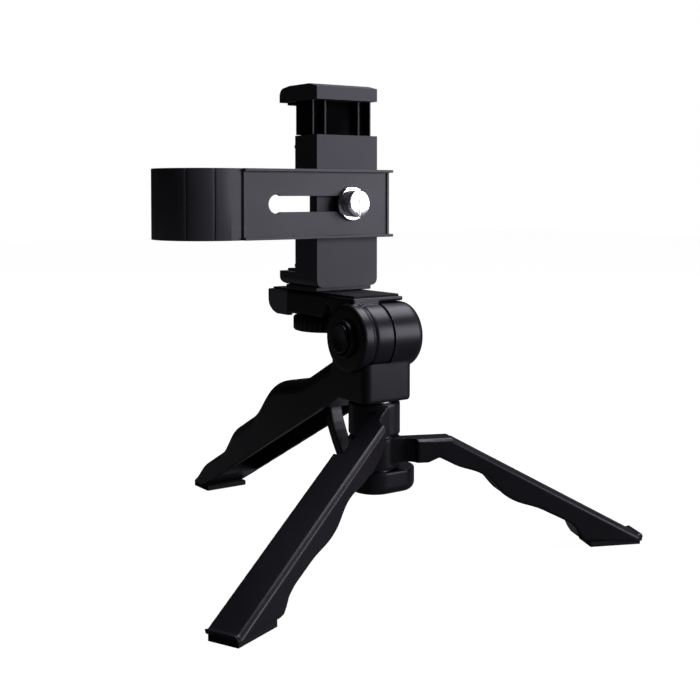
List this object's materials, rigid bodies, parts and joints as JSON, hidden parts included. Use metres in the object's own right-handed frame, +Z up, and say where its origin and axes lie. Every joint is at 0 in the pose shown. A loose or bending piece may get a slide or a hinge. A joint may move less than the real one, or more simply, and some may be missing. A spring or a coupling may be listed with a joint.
{
  "type": "handheld stabilizer tripod with phone clip",
  "caption": "Folding pistol-grip table tripod with a tilting head, a sprung phone clip and a slotted hook bracket for a pocket camera.",
  "frame": {"origin": "centre of the bounding box on the surface that the feet stand on", "axes": "+Z up, +Y from the swing legs towards the handle's foot, +X along the tilt barrel away from its push button"},
  "size_m": [0.2104, 0.2012, 0.1965],
  "materials": {
    "handle_plastic": "satin moulded",
    "leg_plastic": "satin moulded",
    "button_plastic": "satin moulded",
    "wheel_plastic": "knurled",
    "clip_plastic": "fine matte texture",
    "washer_plastic": "matte",
    "bracket_metal": "fine matte powder coat",
    "rubber": "matte",
    "steel": "zinc plated",
    "brass": "turned",
    "chrome": "polished"
  },
  "bodies": {
    "handle": {"handle_shell": "handle_plastic", "handle_foot_pad": "rubber", "hinge_yoke": "handle_plastic", "yoke_screws": "steel", "hinge_pin": "steel", "pin_nut": "steel", "hinge_washers": "steel", "detent_spring": "steel", "tilt_axle": "steel", "axle_nut": "steel", "barrel_end_cap": "handle_plastic"},
    "left_leg": {"left_leg": "leg_plastic", "left_foot_pad": "rubber"},
    "right_leg": {"right_leg": "leg_plastic", "right_foot_pad": "rubber"},
    "head": {"tilt_head": "handle_plastic", "button_bezel": "handle_plastic", "platform_pad": "rubber", "wheel_retainer": "steel"},
    "release": {"lock_button": "button_plastic", "release_plate": "steel"},
    "detent": {"detent_ring": "steel"},
    "wheel": {"thumb_wheel": "wheel_plastic", "camera_stud": "steel"},
    "clip": {"clip_body": "clip_plastic", "clip_cover": "clip_plastic", "clip_foot": "clip_plastic", "foot_insert": "brass", "face_nut": "steel", "lower_jaw_pad": "rubber", "back_pad": "rubber", "cover_screws": "steel", "clip_spring": "steel"},
    "jaw": {"upper_jaw": "clip_plastic", "upper_jaw_pad": "rubber"},
    "swivel": {"pivot_washer": "washer_plastic"},
    "bracket": {"bracket_plate": "bracket_metal", "hook_liner": "rubber"},
    "screw": {"thumb_screw": "chrome"}
  },
  "joints": [
    {"name": "left_leg_swing", "type": "hinge", "parent": "handle", "child": "left_leg", "pos_m": [0, -0.04105, 0.0562], "axis": [0, 0, 1], "range_deg": [-113.5, 0]},
    {"name": "right_leg_swing", "type": "hinge", "parent": "handle", "child": "right_leg", "pos_m": [0, -0.04105, 0.0426], "axis": [0, 0, 1], "range_deg": [0, 113.5]},
    {"name": "head_tilt", "type": "hinge", "parent": "handle", "child": "head", "pos_m": [0, -0.04105, 0.0905], "axis": [1, 0, 0], "range_deg": [-15, 62]},
    {"name": "button_press", "type": "slide", "parent": "head", "child": "release", "axis": [1, 0, 0], "range_m": [0, 0.0024], "stiffness_N_per_m": 300},
    {"name": "detent_slide", "type": "slide", "parent": "handle", "child": "detent", "axis": [1, 0, 0], "range_m": [0, 0.0024], "deforming": ["detent_spring"]},
    {"name": "wheel_spin", "type": "hinge", "parent": "head", "child": "wheel", "pos_m": [0, -0.00605, 0.095], "axis": [0, 0, 1], "continuous": true},
    {"name": "clip_pan", "type": "hinge", "parent": "head", "child": "clip", "pos_m": [0, -0.00605, 0.11], "axis": [0, 0, 1], "continuous": true},
    {"name": "jaw_slide", "type": "slide", "parent": "clip", "child": "jaw", "axis": [0, 0, 1], "range_m": [0, 0.024], "stiffness_N_per_m": 120, "springref_m": -0.01, "deforming": ["clip_spring"]},
    {"name": "bracket_swivel", "type": "hinge", "parent": "clip", "child": "swivel", "pos_m": [0, -0.02205, 0.1455], "axis": [0, 1, 0], "range_deg": [-30, 35]},
    {"name": "bracket_slide", "type": "slide", "parent": "swivel", "child": "bracket", "axis": [1, 0, 0], "range_m": [0, 0.03]},
    {"name": "screw_turn", "type": "hinge", "parent": "clip", "child": "screw", "pos_m": [0, -0.02605, 0.1455], "axis": [0, 1, 0], "continuous": true}
  ],
  "couplings": [
    {"joint": "detent_slide", "follows": "button_press", "ratio": 1}
  ]
}
